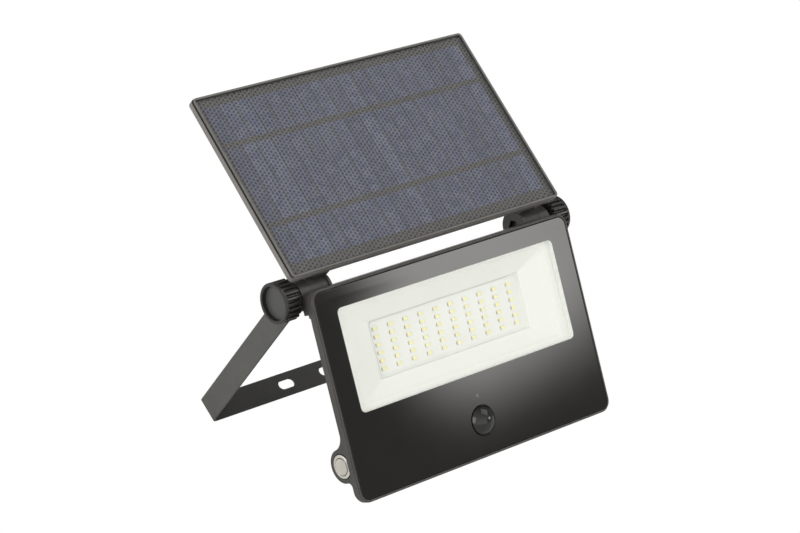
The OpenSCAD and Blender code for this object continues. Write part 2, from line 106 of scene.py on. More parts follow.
class Tree:
    """Writes the node tree of one material, or of the world."""

    def __init__(
        self, owner: bpy.types.Material | bpy.types.World, space: str = "Object"
    ) -> None:
        """Starts an empty tree.

        Args:
            owner: What the tree belongs to.
            space: Which coordinates it reads.
        """
        self.owner = owner
        owner.use_nodes = True
        owner.node_tree.nodes.clear()
        self.coords = self.put("TexCoord", {}).outputs[space]

    def put(
        self, kind: str, inputs: dict[str | int, object], **settings: object
    ) -> bpy.types.Node:
        """Adds one shader node.

        Args:
            kind: The node's type without its "ShaderNode" prefix.
            inputs: A constant or another node's socket for each named input.
            settings: Properties of the node itself.

        Returns:
            The new node.
        """
        tree = self.owner.node_tree
        node = tree.nodes.new("ShaderNode" + kind)
        for key, value in settings.items():
            setattr(node, key, value)
        for key, value in inputs.items():
            if isinstance(value, bpy.types.NodeSocket):
                tree.links.new(value, node.inputs[key])
            else:
                node.inputs[key].default_value = value
        return node

    def noise(self, size: float, detail: float = 3.0) -> bpy.types.NodeSocket:
        """Returns soft noise whose patches are about size metres across."""
        inputs = {"Vector": self.coords, "Scale": 1.0 / size, "Detail": detail}
        return self.put("TexNoise", inputs).outputs["Fac"]

    def spread(
        self, value: bpy.types.NodeSocket, low: float, high: float, start: float = 0.3,
        end: float = 0.7,
    ) -> bpy.types.NodeSocket:
        """Returns a value mapped from the range start to end onto low to high."""
        inputs = {"Value": value, 1: start, 2: end, 3: low, 4: high}
        return self.put("MapRange", inputs).outputs[0]

    def mix(
        self, share: bpy.types.NodeSocket | float, first: object, second: object
    ) -> bpy.types.NodeSocket:
        """Returns a mix of two colours or sockets, all first at share 0."""
        inputs = {0: share, 6: as_rgba(first), 7: as_rgba(second)}
        return self.put("Mix", inputs, data_type="RGBA").outputs[2]

    def math(
        self, operation: str, first: object, second: object = 0.0
    ) -> bpy.types.NodeSocket:
        """Returns the result of one Math node on two values or sockets."""
        return self.put("Math", {0: first, 1: second}, operation=operation).outputs[0]

    def bump(
        self, height: bpy.types.NodeSocket, strength: float, distance: float
    ) -> bpy.types.NodeSocket:
        """Returns the normal that a height from 0 to 1 gives, with its real depth in metres."""
        inputs = {"Height": height, "Strength": strength, "Distance": distance}
        return self.put("Bump", inputs).outputs["Normal"]

    def finish(self, shader: bpy.types.NodeSocket) -> bpy.types.Material:
        """Connects the shader to the output and returns the material."""
        self.put("OutputMaterial", {"Surface": shader})
        return self.owner


def as_rgba(colour: object) -> object:
    """Returns a colour with alpha 1, or a socket unchanged."""
    return colour if isinstance(colour, bpy.types.NodeSocket) else (*colour, 1.0)


def scaled(colour: Colour, factor: float) -> Colour:
    """Returns a colour made lighter or darker by a factor."""
    return tuple(min(1.0, part * factor) for part in colour)


@dataclass(frozen=True)
class Finish:
    """A solid finish whose colour, gloss and fine grain wander over the surface.

    Sizes are metres. Grain is the fine relief of the surface, such as mould texture.
    """

    name: str
    slot: Slot
    colour: Colour
    roughness: float = 0.45
    metallic: float = 0.0
    ior: float = 1.5
    mottle: float = 0.12
    mottle_size: float = 0.018
    grain: float = 0.25
    grain_size: float = 0.0005
    grain_depth: float = 0.00004
    gloss_wander: float = 0.06

    def base(self, tree: Tree) -> bpy.types.NodeSocket:
        """Mixes the surface's colour.

        Args:
            tree: The material's node tree.

        Returns:
            The colour's socket.
        """
        patches = tree.spread(tree.noise(self.mottle_size), 0.0, 1.0)
        low = scaled(self.colour, 1.0 - self.mottle)
        high = scaled(self.colour, 1.0 + self.mottle)
        return tree.mix(patches, low, high)

    def relief(self, tree: Tree) -> bpy.types.NodeSocket:
        """Returns the socket that gives the height of the surface's grain."""
        return tree.noise(self.grain_size, 2.0)

    def build(self) -> bpy.types.Material:
        """Writes the material.

        Returns:
            The finished material.
        """
        tree = Tree(bpy.data.materials.new(self.name))
        low = max(0.02, self.roughness - self.gloss_wander)
        inputs = {
            "Base Color": self.base(tree),
            "Metallic": self.metallic,
            "IOR": self.ior,
            "Roughness": tree.spread(
                tree.noise(self.mottle_size * 0.4), low, self.roughness + self.gloss_wander
            ),
            "Normal": tree.bump(self.relief(tree), self.grain, self.grain_depth),
        }
        return tree.finish(tree.put("BsdfPrincipled", inputs).outputs[0])


@dataclass(frozen=True)
class PowderCoat(Finish):
    """Paint baked on steel: fine orange peel with darker specks."""

    def base(self, tree: Tree) -> bpy.types.NodeSocket:
        """Mixes the coat's colour with fine specks.

        Args:
            tree: The material's node tree.

        Returns:
            The colour's socket.
        """
        cells = tree.put(
            "TexVoronoi", {"Vector": tree.coords, "Scale": 1.0 / self.grain_size}
        ).outputs["Distance"]
        specks = tree.spread(cells, 0.0, 1.0, 0.1, 0.6)
        patches = super().base(tree)
        return tree.mix(tree.math("MULTIPLY", specks, 0.5), patches, scaled(self.colour, 1.6))


@dataclass(frozen=True)
class Brushed(Finish):
    """Turned or brushed metal: fine marks drawn out along one axis of the row frame."""

    stretch: Point = (1.0, 1.0, 1.0)

    def relief(self, tree: Tree) -> bpy.types.NodeSocket:
        """Draws the brush marks.

        Args:
            tree: The material's node tree.

        Returns:
            The socket of the marks' height.
        """
        drawn = tree.put("Mapping", {"Vector": tree.coords, "Scale": self.stretch})
        inputs = {"Vector": drawn.outputs[0], "Scale": 1.0 / self.grain_size, "Detail": 4.0}
        return tree.put("TexNoise", inputs).outputs["Fac"]


@dataclass(frozen=True)
class CellSilicon(Finish):
    """Crystalline silicon: flakes of slightly different blue, and a tone of its own per strip."""

    flake: Colour = (0.2, 0.24, 0.36)
    flake_size: float = 0.0045

    def base(self, tree: Tree) -> bpy.types.NodeSocket:
        """Draws the crystal pattern, tinted by each strip's stored tone.

        Args:
            tree: The material's node tree.

        Returns:
            The colour's socket.
        """
        crystals = tree.put(
            "TexVoronoi", {"Vector": tree.coords, "Scale": 1.0 / self.flake_size}
        ).outputs["Color"]
        value = tree.put("SeparateColor", {0: crystals}).outputs[0]
        blue = tree.mix(tree.spread(value, 0.0, 1.0, 0.0, 1.0), self.colour, self.flake)
        tone = tree.put("Attribute", {}, attribute_name="tone").outputs["Fac"]
        light = tree.mix(tone, (0.72, 0.74, 0.78), (1.2, 1.18, 1.14))
        inputs = {0: 1.0, 6: blue, 7: light}
        return tree.put(
            "Mix", inputs, data_type="RGBA", blend_type="MULTIPLY"
        ).outputs[2]


@dataclass(frozen=True)
class Phosphor(Finish):
    """An LED's phosphor: yellow, running a little towards pale in a faint grain."""

    pale: Colour = (0.93, 0.94, 0.86)

    def base(self, tree: Tree) -> bpy.types.NodeSocket:
        """Returns the phosphor's colour with a faint grain."""
        return tree.mix(tree.spread(tree.noise(0.0006), 0.0, 0.35), self.colour, self.pale)


@dataclass(frozen=True)
class PolishedBlack(Finish):
    """Glass with black print behind it, or a polished black moulding."""

    def build(self) -> bpy.types.Material:
        """Writes a very smooth dark surface with barely visible waves.

        Returns:
            The finished material.
        """
        tree = Tree(bpy.data.materials.new(self.name))
        inputs = {
            "Base Color": self.base(tree),
            "Roughness": tree.spread(
                tree.noise(self.mottle_size), self.roughness * 0.7, self.roughness * 1.3
            ),
            "IOR": self.ior,
            "Normal": tree.bump(tree.noise(0.05, 1.0), 0.04, 0.0002),
        }
        return tree.finish(tree.put("BsdfPrincipled", inputs).outputs[0])


@dataclass(frozen=True)
class ClearPane(Finish):
    """A thin clear pane: what is behind it shows, under a mirror-like face."""

    def build(self) -> bpy.types.Material:
        """Writes see-through glass with a clear coat of reflection.

        Returns:
            The finished material.
        """
        tree = Tree(bpy.data.materials.new(self.name))
        through = tree.put("BsdfTransparent", {"Color": as_rgba(self.colour)}).outputs[0]
        mirror = tree.put(
            "BsdfPrincipled",
            {"Base Color": (0.02, 0.02, 0.02, 1.0), "Roughness": self.roughness, "IOR": self.ior},
        ).outputs[0]
        facing = tree.math("SUBTRACT", 1.0, tree.put("NewGeometry", {}).outputs["Backfacing"])
        fresnel = tree.put("Fresnel", {"IOR": self.ior}).outputs[0]
        share = tree.math("MULTIPLY", fresnel, facing)
        return tree.finish(
            tree.put("MixShader", {0: share, 1: through, 2: mirror}).outputs[0]
        )


@dataclass(frozen=True)
class PittedFilm(Finish):
    """The panel's pitted face: a hazy layer over the cells, painted darker in each pit, haze and
    see-through alike, as painted shade.
    """

    haze: float = 0.25
    pit_painted_shade: Colour = (0.03, 0.03, 0.035)

    def build(self) -> bpy.types.Material:
        """Writes the haze, and a stored value paints shade into the pits.

        Returns:
            The finished material.
        """
        tree = Tree(bpy.data.materials.new(self.name))
        pit = tree.put("Attribute", {}, attribute_name="pit").outputs["Fac"]
        deep = tree.spread(pit, 0.0, 1.0, 0.0, 1.0)
        # Painted shade: the haze's colour runs to near black inside each pit.
        face = tree.put(
            "BsdfPrincipled",
            {
                "Base Color": tree.mix(deep, self.base(tree), self.pit_painted_shade),
                "Roughness": self.roughness,
                "IOR": self.ior,
            },
        ).outputs[0]
        # Painted shade: what shows through the film is dimmed inside each pit.
        clear = tree.mix(deep, (1.0, 1.0, 1.0), (0.12, 0.13, 0.18))
        through = tree.put("BsdfTransparent", {"Color": clear}).outputs[0]
        return tree.finish(
            tree.put("MixShader", {0: self.haze, 1: through, 2: face}).outputs[0]
        )


HOUSING = Finish("housing plastic", Slot.HOUSING, (0.042, 0.039, 0.036), 0.4)
PANEL_CASE = Finish("panel case plastic", Slot.PANEL_PLASTIC, (0.12, 0.114, 0.108), 0.42)
KNOB_BLACK = Finish("knob plastic", Slot.KNOB, (0.014, 0.013, 0.012), 0.28)
KNOB_GREY = Finish("knob cap plastic", Slot.KNOB_CAP, (0.045, 0.046, 0.047), 0.36)
BRACKET_COAT = PowderCoat("bracket coat", Slot.BRACKET_STEEL, (0.05, 0.05, 0.047), 0.5)
STEEL = Brushed("zinc plated steel", Slot.STEEL, (0.6, 0.6, 0.6), 0.35, 1.0)
BRASS = Brushed("turned brass", Slot.BRASS, (0.7, 0.52, 0.24), 0.3, 1.0)
PRINTED_GLASS = PolishedBlack("printed glass", Slot.FRONT_GLASS, (0.005, 0.0045, 0.004), 0.03)
CLEAR_GLASS = ClearPane("clear glass", Slot.FRONT_GLASS, (0.985, 0.99, 0.982), 0.02)
GLASS_EDGE = Finish("glass edge", Slot.FRONT_GLASS, (0.88, 0.89, 0.87), 0.3, mottle=0.02)
BLACKENED = Finish("blackened steel", Slot.STEEL, (0.02, 0.02, 0.02), 0.4)
# Painted light: a paler copy of the panel plastic, put on the panel shell's side wall in place of
# the light that falls on it.
PANEL_RIM_PAINTED_LIGHT = Finish("panel rim painted light", Slot.PANEL_PLASTIC, (0.16, 0.153, 0.145), 0.42)
PANEL_DARK = Finish("panel shell plastic", Slot.PANEL_PLASTIC, (0.036, 0.035, 0.033), 0.42)
RUBBER = Finish("black rubber", Slot.RUBBER, (0.02, 0.02, 0.02), 0.7)
REFLECTOR_WHITE = Finish(
    "reflector white", Slot.REFLECTOR, (0.9, 0.905, 0.885), 0.4, mottle=0.01, grain=0.1
)
BOARD_WHITE = Finish(
    "white solder mask", Slot.BOARD_WHITE, (0.88, 0.885, 0.87), 0.35, mottle=0.02, grain=0.1
)
LED_CASE = Finish("led case", Slot.LED, (0.86, 0.86, 0.82), 0.4, mottle=0.03)
LED_YELLOW = Phosphor("led phosphor", Slot.LED, (0.98, 0.92, 0.4), 0.45, mottle=0.03)
LED_PAD = Brushed("solder pad", Slot.LED, (0.5, 0.5, 0.48), 0.35, 1.0)
ALUMINIUM = Brushed("mill aluminium", Slot.ALUMINIUM, (0.7, 0.71, 0.72), 0.35, 1.0)
BOARD_GREEN = Finish("green solder mask", Slot.BOARD_GREEN, (0.03, 0.16, 0.06), 0.35)
COMPONENT = Finish("moulded component", Slot.COMPONENT, (0.03, 0.03, 0.03), 0.5)
BATTERY = Finish("battery sleeve", Slot.BATTERY, (0.05, 0.14, 0.38), 0.3)
NICKEL = Brushed("nickel strip", Slot.NICKEL, (0.62, 0.6, 0.56), 0.3, 1.0)
SENSOR_BLACK = PolishedBlack("sensor lens", Slot.SENSOR_LENS, (0.006, 0.006, 0.006), 0.08)
LIGHT_PIPE = Finish("light pipe", Slot.LIGHT_PIPE, (0.11, 0.115, 0.115), 0.3)
BUTTON_STEEL = Brushed(
    "button steel", Slot.BUTTON_STEEL, (0.78, 0.76, 0.71), 0.24, 1.0, grain=0.15
)
BUTTON_FACE = Brushed(
    "button face steel", Slot.BUTTON_STEEL, (0.72, 0.69, 0.63), 0.42, 1.0, grain=0.2,
    stretch=(1.0, 1.0, 6.0),
)
GLAND = Finish("gland nylon", Slot.GLAND, (0.022, 0.022, 0.022), 0.5)
PANEL_FACE = PittedFilm(
    "pitted panel face", Slot.PANEL_GLASS, (0.23, 0.23, 0.235), 0.35, mottle=0.05
)
CELL_BLUE = CellSilicon("solar cell", Slot.SOLAR_CELL, (0.09, 0.125, 0.27), 0.4)
BACKING = Finish("cell backing", Slot.CELL_BACKING, (0.105, 0.095, 0.078), 0.5)
RIBBON = Finish("bus ribbon", Slot.CELL_BACKING, (0.12, 0.11, 0.095), 0.45)


class Paintbox:
    """Builds each finish once and hands it out."""

    def __init__(self) -> None:
        """Starts with nothing built."""
        self.built: dict[str, bpy.types.Material] = {}

    def material(self, finish: Finish) -> bpy.types.Material:
        """Hands out a finish's material and builds it at its first use.

        Args:
            finish: The finish.

        Returns:
            Its material.
        """
        if finish.name not in self.built:
            self.built[finish.name] = finish.build()
        return self.built[finish.name]


paint = Paintbox()


# ---- shapes ----


@dataclass(frozen=True)
class Place:
    """A sub-assembly's own frame in millimetres, hung on the hinge line.

    Its y = 0 is the front plane and z = 0 its reference edge.
    """

    hinge: Vector
    lean: float
    setback: float = 0.0
    drop: float = 0.0

    @property
    def matrix(self) -> Matrix:
        """The transform from this frame's millimetres to metres in the row frame."""
        return (
            Matrix.Translation(self.hinge)
            @ Matrix.Rotation(math.radians(-self.lean), 4, "X")
            @ Matrix.Scale(MM, 4)
            @ Matrix.Translation((0.0, -self.setback, self.drop))
        )


def rounded_rect(
    width: float, low: float, high: float, radius: float, inset: float = 0.0, steps: int = 8
) -> Outline:
    """Gives the outline of a rectangle with round corners, centred across x.

    Args:
        width: Full width along x.
        low: Lower edge.
        high: Upper edge.
        radius: Corner radius before the inset.
        inset: Distance that the outline is moved inwards.
        steps: Straight pieces in each corner.

    Returns:
        Points anticlockwise, from the lower right corner.
    """
    half = width / 2 - inset
    low, high = low + inset, high - inset
    r = max(radius - inset, 0.05)
    corners = [(half - r, low + r, -90), (half - r, high - r, 0),
               (-half + r, high - r, 90), (-half + r, low + r, 180)]
    points = []
    for cx, cz, start in corners:
        for i in range(steps + 1):
            a = math.radians(start + 90 * i / steps)
            points.append((cx + r * math.cos(a), cz + r * math.sin(a)))
    return points


def soft_slab(front: float, back: float, soft: float, steps: int = 3) -> Outline:
    """Gives a slab's edge as (inset, y) pairs, with both edges rounded.

    Args:
        front: The front face's y.
        back: The back face's y.
        soft: Radius of the two edges.
        steps: Straight pieces in each rounding.

    Returns:
        Pairs from the front face round to the back face.
    """
    turn = [math.radians(90 * i / steps) for i in range(steps + 1)]
    lead = [(soft * (1 - math.sin(a)), front + soft * (1 - math.cos(a))) for a in turn]
    trail = [(soft * (1 - math.cos(a)), back - soft * (1 - math.sin(a))) for a in turn]
    return lead + trail


class Shape:
    """Collects the faces of one piece, in the millimetres of its place."""

    def __init__(self) -> None:
        """Starts with no faces."""
        self.bm = bmesh.new()
        self.material_index = 0

    def loft(
        self, loops: Sequence[Sequence[Point]], ring: bool = False, caps: bool = True
    ) -> None:
        """Joins closed loops of equal length by quads.

        Args:
            loops: The loops in order.
            ring: True joins the last loop back to the first.
            caps: True closes the two end loops, unless they are joined.
        """
        rows = [[self.bm.verts.new(p) for p in loop] for loop in loops]
        pairs = list(zip(rows, rows[1:]))
        if ring:
            pairs.append((rows[-1], rows[0]))
        for a, b in pairs:
            for i in range(len(a)):
                j = (i + 1) % len(a)
                self.face((a[i], a[j], b[j], b[i]))
        if caps and not ring:
            self.face(rows[0])
            self.face(rows[-1])

    def face(self, verts: Sequence[bmesh.types.BMVert]) -> None:
        """Adds one face in the current material."""
        made = self.bm.faces.new(verts)
        made.material_index = self.material_index

    def slab(
        self, outline: Callable[[float], Outline], profile: Outline, ring: bool = False
    ) -> None:
        """Lofts an outline in XZ, given for an inset, through a profile of (inset, y) pairs."""
        loops = [[(x, y, z) for x, z in outline(inset)] for inset, y in profile]
        self.loft(loops, ring)

    def turned(
        self, profile: Outline, axis: str, centre: Pair, steps: int = 96,
        ring: bool = False,
    ) -> None:
        """Spins a profile of (radius, along) pairs about a line.

        Args:
            profile: The (radius, along) pairs.
            axis: "X", "Y" or "Z", the line's direction.
            centre: The line's two other coordinates.
            steps: Straight pieces in a full turn.
            ring: True closes the profile on itself, and False caps its ends.
        """
        def spot(radius: float, along: float, turn: float) -> Point:
            """Returns the point at a radius and turn about the line."""
            u = centre[0] + radius * math.cos(turn)
            v = centre[1] + radius * math.sin(turn)
            return {"X": (along, u, v), "Y": (u, along, v), "Z": (u, v, along)}[axis]

        turns = [2 * math.pi * i / steps for i in range(steps)]
        loops = [[spot(max(r, 0.001), h, t) for t in turns] for r, h in profile]
        self.loft(loops, ring)

    def flat(self, outlines: Sequence[Outline], y: float) -> None:
        """Fills a flat face in XZ that has holes.

        Args:
            outlines: The outer outline, then the outline of each hole.
            y: The face's place.
        """
        loops = [[Vector((x, z, 0.0)) for x, z in outline] for outline in outlines]
        verts = [self.bm.verts.new((p.x, y, p.y)) for loop in loops for p in loop]
        for corners in tessellate_polygon(loops):
            self.face([verts[i] for i in corners])

    def merge_close(self, distance: float = 0.0005) -> None:
        """Joins points that lie closer than a distance in millimetres."""
        bmesh.ops.remove_doubles(self.bm, verts=self.bm.verts, dist=distance)

    def box(
        self, low: Point, high: Point,
        soft: float = 0.1,
    ) -> None:
        """Adds a box standing along y with rounded edges.

        Args:
            low: Its lowest corner.
            high: Its highest corner.
            soft: Radius of its edges.
        """
        cx = (low[0] + high[0]) / 2

        def outline(inset: float) -> Outline:
            """Returns the box's outline in XZ, moved inwards by an inset."""
            points = rounded_rect(high[0] - low[0], low[2], high[2], soft * 1.5, inset, 2)
            return [(x + cx, z) for x, z in points]

        self.slab(outline, soft_slab(low[1], high[1], soft, 2))

    def mesh(self, name: str, place: Place) -> bpy.types.Mesh:
        """Turns the faces into a mesh, which ends the shape.

        Args:
            name: The mesh's name.
            place: Where the shape sits.

        Returns:
            The mesh, in metres in the row frame.
        """
        bmesh.ops.recalc_face_normals(self.bm, faces=self.bm.faces)
        mesh = bpy.data.meshes.new(name)
        self.bm.to_mesh(mesh)
        self.bm.free()
        mesh.transform(place.matrix)
        return mesh


@dataclass
class Kit:
    """Puts finished pieces in the scene and keeps count of them."""

    made: list[str] = field(default_factory=list)

    def piece(
        self, name: str, mesh: bpy.types.Mesh, body: Body, finishes: Sequence[Finish],
        replaces: Sequence[str] = (), smooth: float = 35.0, flatten: bool = True,
    ) -> bpy.types.Object:
        """Puts a mesh that is already in the row frame on a body.

        Args:
            name: The piece's name.
            mesh: Its mesh, in metres.
            body: What it moves with.
            finishes: One finish for each material index.
            replaces: CAD nodes that it stands for.
            smooth: Edges sharper than this, in degrees, stay crisp.
            flatten: True keeps large flat faces flat in their shading.

        Returns:
            The new object.
        """
        mesh.shade_smooth()
        mesh.set_sharp_from_angle(angle=math.radians(smooth))
        for finish in finishes:
            mesh.materials.append(paint.material(finish))
        obj = bpy.data.objects.new(name, mesh)
        bpy.context.scene.collection.objects.link(obj)
        if flatten:
            normals = obj.modifiers.new("flat faces", "WEIGHTED_NORMAL")
            normals.keep_sharp = True
        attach(obj, body.value)
        if replaces:
            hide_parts(*replaces)
        self.made.append(name)
        log.info("piece %s on %s, %d faces", name, body.value, len(mesh.polygons))
        return obj

    def softened(
        self, node: str, name: str, body: Body, finish: Finish, edge: float
    ) -> bpy.types.Object:
        """Builds a copy of a CAD node with its sharp edges rounded, and shows it instead.

        Args:
            node: The CAD node.
            name: The new piece's name.
            body: What it moves with.
            finish: Its finish.
            edge: Radius of the edges, in millimetres.

        Returns:
            The new object.
        """
        bm = bmesh.new()
        bm.from_mesh(frame["nodes"][node].data)
        bmesh.ops.remove_doubles(bm, verts=bm.verts, dist=0.003 * MM)
        bmesh.ops.dissolve_limit(
            bm, angle_limit=math.radians(0.6), verts=bm.verts, edges=bm.edges
        )
        least = math.radians(40.0)
        sharp = [
            e for e in bm.edges if len(e.link_faces) == 2 and e.calc_face_angle(0.0) > least
        ]
        bmesh.ops.bevel(
            bm, geom=sharp, offset=edge * MM, segments=2, profile=0.5, affect="EDGES",
            clamp_overlap=True,
        )
        mesh = bpy.data.meshes.new(name)
        bm.to_mesh(mesh)
        bm.free()
        return self.piece(name, mesh, body, [finish], [node], 30.0)

    def dress(self, node: str, finish: Finish) -> None:
        """Gives a CAD node its finish.

        Args:
            node: The CAD node.
            finish: Its finish.
        """
        obj = frame["nodes"][node]
        obj.data.materials.clear()
        obj.data.materials.append(paint.material(finish))
        log.info("dressed %s as %s", node, finish.name)


# ---- sub-assemblies ----


@dataclass
class SubAssembly:
    """A group of pieces that are drawn in one frame."""

    kit: Kit
    place: Place

    def show(
        self, name: str, shape: Shape, body: Body, finishes: Sequence[Finish], node: str,
        smooth: float = 35.0,
    ) -> bpy.types.Object:
        """Returns a shape as a piece at this group's place, shown instead of a CAD node."""
        mesh = shape.mesh(name, self.place)
        return self.kit.piece(name, mesh, body, finishes, [node], smooth)


@dataclass(frozen=True)
class HingeLine:
    """The line that the lamp, the panel and the bracket all turn about."""

    at: Vector
    lamp_lean: float = 24.0
    panel_lean: float = 49.7
    bracket_length: float = 133.0
    strip_width: float = 16.0

    @property
    def bracket_lean(self) -> float:
        """Lean of the bracket, which brings its base's lower edge to the floor."""
        reach = math.hypot(self.bracket_length, self.strip_width / 2)
        drop = math.acos(self.at.z / MM / reach)
        return math.degrees(math.atan2(self.strip_width / 2, self.bracket_length) + drop)

    @property
    def lamp(self) -> Place:
        """The lamp's frame: front plane and top edge."""
        return Place(self.at, self.lamp_lean, 21.0, 2.2)

    @property
    def panel(self) -> Place:
        """The panel's frame: front plane and lower edge."""
        return Place(self.at, self.panel_lean, 19.2, 4.5)

    @property
    def bracket(self) -> Place:
        """The bracket's frame: on the hinge line, arms down."""
        return Place(self.at, -self.bracket_lean)


@dataclass
class LampFront(SubAssembly):
    """The lamp's front frame, printed glass, reflector, LED board and sensor window."""

    width: float = 212.0
    height: float = 130.0
    corner: float = 7.5
    frame_lip: float = 1.6
    glass_front: float = 0.3
    glass_thick: float = 4.0
    glass_gap: float = 1.9
    window_width: float = 178.6
    window_height: float = 64.2
    window_drop: float = 46.2
    window_corner: float = 3.3
    board_width: float = 118.0
    board_height: float = 33.8
    led_cols: int = 10
    led_rows: int = 6
    led_pitch_x: float = 12.4
    led_pitch_z: float = 4.95
    led_shift: float = -0.3
    led_width: float = 3.5
    led_height: float = 2.8
    led_top: float = 11.85
    led_base: float = 12.58
    sensor_z: float = -107.6
    sensor_hole: float = 9.75
    sensor_radius: float = 9.2
    sensor_rise: float = 5.6
    sensor_wall: float = 1.0
    sensor_sphere: float = 10.6
    status_z: float = -91.9

    def rim(self, inset: float) -> Outline:
        """Returns the lamp's outline, moved inwards by an inset."""
        return rounded_rect(self.width, -self.height, 0.0, self.corner, inset, 10)

    def window(self, inset: float) -> Outline:
        """Returns the clear window's outline, moved inwards by an inset."""
        half = self.window_height / 2
        return rounded_rect(
            self.window_width, -self.window_drop - half, -self.window_drop + half,
            self.window_corner, inset, 10,
        )

    def build_frame(self) -> None:
        """Makes the front frame with its rounded lip."""
        lip = self.frame_lip
        profile = [
            (0.0, 2.2), (0.0, 0.9), (0.1, 0.76), (0.5, 0.7), (0.52, 0.25), (0.62, 0.06),
            (0.8, 0.0), (lip - 0.4, 0.0), (lip - 0.12, 0.1), (lip, 0.35), (lip, 2.2),
        ]
        shape = Shape()
        shape.slab(self.rim, profile, ring=True)
        self.show("front_frame_lip", shape, Body.LAMP, [HOUSING], "front_frame")

    def build_glass(self) -> None:
        """Makes the printed glass as a pane with a window, and the clear pane in it."""
        back = self.glass_front + self.glass_thick
        shape = Shape()
        edge = soft_slab(self.glass_front, back, 0.35)
        outer = [
            [(x, y, z) for x, z in self.rim(self.glass_gap + inset)] for inset, y in edge
        ]
        shape.loft(outer, caps=False)
        circle = [
            (self.sensor_hole * math.cos(a), self.sensor_z + self.sensor_hole * math.sin(a))
            for a in (2 * math.pi * i / 64 for i in range(64))
        ]
        holes = [self.window(0.0), circle]
        for index, hole in enumerate(holes):
            loops = [[(x, y, z) for x, z in hole] for y in (self.glass_front, back)]
            shape.material_index = 1 - index
            shape.loft(loops, caps=False)
        for y in (self.glass_front, back):
            shape.flat([self.rim(self.glass_gap + edge[0][0]), *holes], y)
        shape.merge_close()
        self.show(
            "front_glass_print", shape, Body.LAMP, [PRINTED_GLASS, GLASS_EDGE], "front_glass"
        )
        pane = Shape()
        pane.slab(self.window, [(0.02, self.glass_front), (0.02, self.glass_front + 0.3)])
        self.show("front_glass_window", pane, Body.LAMP, [CLEAR_GLASS], "front_glass")

    def build_reflector(self) -> None:
        """Makes the white reflector tray: flange, sloped walls and the short throat."""
        drop = self.window_drop

        def outline(width: float, height: float, radius: float) -> Outline:
            """Returns a rectangle's outline about the window's centre."""
            return rounded_rect(width, -drop - height / 2, -drop + height / 2, radius)

        stations = [
            (183.0, 68.4, 4.0, 5.3), (183.0, 68.4, 4.0, 4.4), (182.8, 68.2, 4.0, 4.35),
            (166.2, 57.2, 3.4, 4.35), (165.4, 56.4, 3.0, 4.5), (165.0, 56.0, 2.8, 4.8),
            (127.0, 36.8, 1.2, 9.2), (126.3, 36.2, 1.0, 9.4), (126.0, 36.0, 0.9, 9.8),
            (126.0, 36.0, 0.9, 12.9), (118.4, 34.2, 2.3, 13.0), (118.06, 33.86, 2.22, 13.1),
            (118.06, 33.86, 2.22, 14.2), (128.0, 38.0, 1.0, 14.2), (128.0, 38.0, 1.0, 10.0),
            (166.6, 57.6, 3.0, 5.3),
        ]
        shape = Shape()
        shape.loft(
            [[(x, y, z) for x, z in outline(w, h, r)] for w, h, r, y in stations], ring=True
        )
        self.show("reflector_tray", shape, Body.LAMP, [REFLECTOR_WHITE], "reflector", 24.0)

    def build_leds(self) -> None:
        """Makes the LED board and its LEDs."""
        board = Shape()
        middle, half = -self.window_drop, self.board_height / 2

        def outline(inset: float) -> Outline:
            """Returns the board's outline, moved inwards by an inset."""
            return rounded_rect(self.board_width, middle - half, middle + half, 2.2, inset)

        board.slab(outline, [(1.0, 12.62), (0.85, 12.5), (0.2, 12.5), (0.0, 12.62), (0.0, 14.2)])
        self.show("led_board_face", board, Body.LAMP, [BOARD_WHITE], "led_board")
        chips = Shape()
        for column in range(self.led_cols):
            for row in range(self.led_rows):
                x = (column - (self.led_cols - 1) / 2) * self.led_pitch_x
                z = middle + self.led_shift + (row - (self.led_rows - 1) / 2) * self.led_pitch_z
                self.add_led(chips, x, z)
        self.show(
            "led_packages", chips, Body.LAMP, [LED_CASE, LED_YELLOW, LED_PAD], "led_chips"
        )

    def add_led(self, chips: Shape, x: float, z: float) -> None:
        """Adds one LED: its case, its phosphor and a solder pad at each end.

        Args:
            chips: The shape that collects the LEDs.
            x: The LED's place across the lamp.
            z: The LED's place up the lamp.
        """
        top, base = self.led_top, self.led_base
        half_x, half_z = self.led_width / 2, self.led_height / 2
        chips.material_index = 0
        chips.box((x - half_x, top, z - half_z), (x + half_x, base, z + half_z), 0.12)
        chips.material_index = 1
        chips.box((x - 1.25, top - 0.05, z - 1.05), (x + 1.35, top + 0.1, z + 1.05), 0.05)
        chips.material_index = 2
        for end in (x - half_x - 0.2, x + half_x + 0.2):
            chips.box(
                (end - 0.25, base - 0.25, z - 0.95), (end + 0.25, base + 0.02, z + 0.95), 0.05
            )

    def build_sensor(self) -> None:
        """Makes the sensor's dome and the status light."""
        radius, wall, big = self.sensor_radius, self.sensor_wall, self.sensor_sphere
        top = self.glass_front - self.sensor_rise
        profile = [(12.0, 5.3), (12.0, 4.4), (radius, 4.4), (radius, -0.2)]
        foot = math.asin(min(1.0, (radius - 0.1) / big))
        steps = 18
        for i in range(steps + 1):
            a = foot * (1 - i / steps)
            profile.append((big * math.sin(a), top + big * (1 - math.cos(a))))
        inner = [(max(r - wall, 0.0), y + wall) for r, y in reversed(profile[4:])]
        shape = Shape()
        shape.turned(
            profile + inner + [(radius - wall, 5.3)], "Y", (0.0, self.sensor_z), 96, ring=True
        )
        self.show("sensor_dome", shape, Body.LAMP, [SENSOR_BLACK], "pir_lens", 30.0)
        light = Shape()
        pipe = [
            (0.0, 0.24), (1.0, 0.24), (1.15, 0.32), (1.15, 6.0), (1.8, 6.0), (1.8, 8.3),
            (0.0, 8.3),
        ]
        light.turned(pipe, "Y", (0.0, self.status_z), 32)
        self.show("status_light", light, Body.LAMP, [LIGHT_PIPE], "indicator_pipe")

    def build(self) -> None:
        """Makes everything on the lamp's front."""
        self.build_frame()
        self.build_glass()
        self.build_reflector()
        self.build_leds()
        self.build_sensor()


